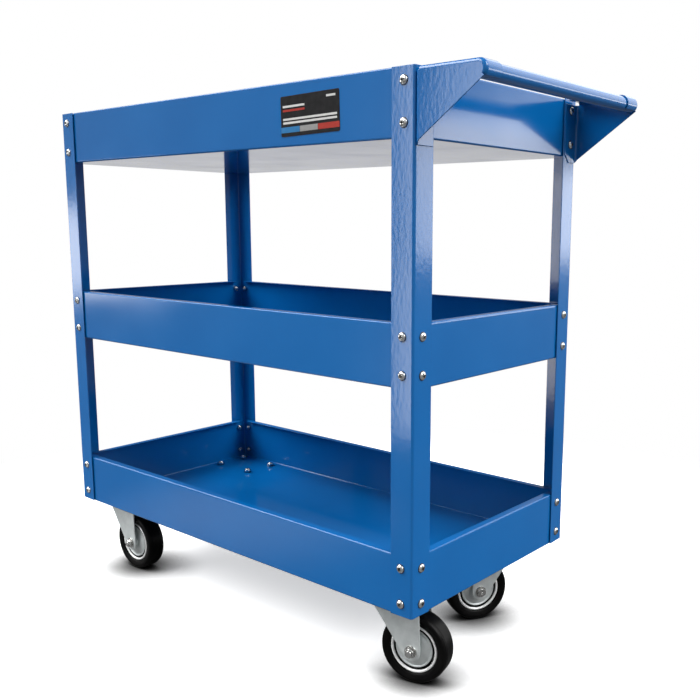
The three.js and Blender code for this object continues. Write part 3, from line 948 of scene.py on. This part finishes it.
# Panels of the studio: azimuth from -Y towards +X and elevation in degrees, radiance, and the softness
# of the edges across and up. A negative radiance is a black flag.
PANELS = [
    ("key_left", (-85, -15), (27, 60), 9.0, (12, 5)),
    ("key_right", (75, 130), (27, 60), 8.6, (12, 5)),
    ("high_back_right", (146, 180), (6, 50), 1.9, (8, 6)),
    ("high_back_left", (-180, -152), (16, 50), 1.9, (6, 5)),
    ("eye_left", (-77, -55), (-4.6, 0.9), 5.0, (1.5, 0.5)),
    ("eye_right", (136, 149.5), (-2.4, 6.9), 4.9, (1.5, 0.8)),
    ("eye_right_low", (149.5, 158), (-2.4, 3.6), 4.9, (1.5, 0.8)),
    ("front_box_low", (-37.8, -31), (-16, -3), 4.9, (0.9, 2.0)),
    ("front_box_edge", (-37.8, -36.4), (-3, 12), 2.4, (0.9, 2.0)),
    ("front_box_high", (-36.4, -31), (-3, 12), 4.9, (0.9, 2.0)),
    ("backdrop", (-178, -112), (-13, 1), 0.46, (4, 3)),
    ("back_flag", (-156, -100), (6, 80), -0.38, (6, 3)),
]


def add_panel(tree, azimuth, elevation, panel):
    _, (az_low, az_high), (el_low, el_high), level, (az_soft, el_soft) = panel
    across = window(tree, azimuth, az_low, az_high, az_soft)
    up = window(tree, elevation, el_low, el_high, el_soft)
    return math_node(tree, "MULTIPLY", math_node(tree, "MULTIPLY", across, up), level)


def studio_world():
    """A dim studio with two high key lights and a few bright panels at eye level; white to the camera."""
    world = bpy.data.worlds.new("studio")
    bpy.context.scene.world = world
    world.use_nodes = True
    tree = world.node_tree
    tree.nodes.clear()
    coords = tree.nodes.new("ShaderNodeTexCoord")
    parts = tree.nodes.new("ShaderNodeSeparateXYZ")
    tree.links.new(coords.outputs["Generated"], parts.inputs[0])
    rise = math_node(tree, "ARCSINE", parts.outputs["Z"])
    elevation = math_node(tree, "MULTIPLY", rise, 180 / math.pi)
    towards = math_node(tree, "MULTIPLY", parts.outputs["Y"], -1.0)
    turn = math_node(tree, "ARCTAN2", parts.outputs["X"], towards)
    azimuth = math_node(tree, "MULTIPLY", turn, 180 / math.pi)
    span = tree.nodes.new("ShaderNodeMapRange")
    names = ("From Min", "To Min", "From Max", "To Max")
    for name, value in zip(names, (*GLOW_LOW, *GLOW_HIGH)):
        span.inputs[name].default_value = value
    tree.links.new(elevation, span.inputs["Value"])
    total = span.outputs["Result"]
    for panel in PANELS:
        total = math_node(tree, "ADD", total, add_panel(tree, azimuth, elevation, panel))
    studio = tree.nodes.new("ShaderNodeBackground")
    tree.links.new(total, studio.inputs["Strength"])
    studio.inputs["Color"].default_value = (1, 1, 1, 1)
    white = tree.nodes.new("ShaderNodeBackground")
    white.inputs["Color"].default_value = (1, 1, 1, 1)
    path = tree.nodes.new("ShaderNodeLightPath")
    choose = tree.nodes.new("ShaderNodeMixShader")
    output = tree.nodes.new("ShaderNodeOutputWorld")
    tree.links.new(path.outputs["Is Camera Ray"], choose.inputs[0])
    tree.links.new(studio.outputs[0], choose.inputs[1])
    tree.links.new(white.outputs[0], choose.inputs[2])
    tree.links.new(choose.outputs[0], output.inputs["Surface"])


CAMERA_PLACE = (1.01115, -1.01318, 0.64179)
CAMERA_YAW, CAMERA_PITCH, CAMERA_ROLL = 39.18, -9.43, 0.34
LENS, SHIFT_X, SHIFT_Y = 44.005, -0.0867, 0.0223


def add_camera():
    data = bpy.data.cameras.new("camera")
    data.sensor_width = 36.0
    data.lens = LENS
    data.shift_x = SHIFT_X
    data.shift_y = SHIFT_Y
    data.clip_start = 0.01
    camera = bpy.data.objects.new("camera", data)
    bpy.context.scene.collection.objects.link(camera)
    yaw, pitch, roll = (math.radians(angle) for angle in (CAMERA_YAW, CAMERA_PITCH, CAMERA_ROLL))
    turn = Matrix.Rotation(yaw, 4, "Z") @ Matrix.Rotation(math.pi / 2 + pitch, 4, "X")
    turn = turn @ Matrix.Rotation(roll, 4, "Z")
    camera.matrix_world = Matrix.Translation(CAMERA_PLACE) @ turn
    bpy.context.scene.camera = camera


add_camera()
add_posts()
add_trays()
add_handle()
add_label()
add_tray_screws()
add_casters()
add_floor()
studio_world()
bpy.context.scene.view_settings.view_transform = "Standard"

bpy.context.view_layer.update()
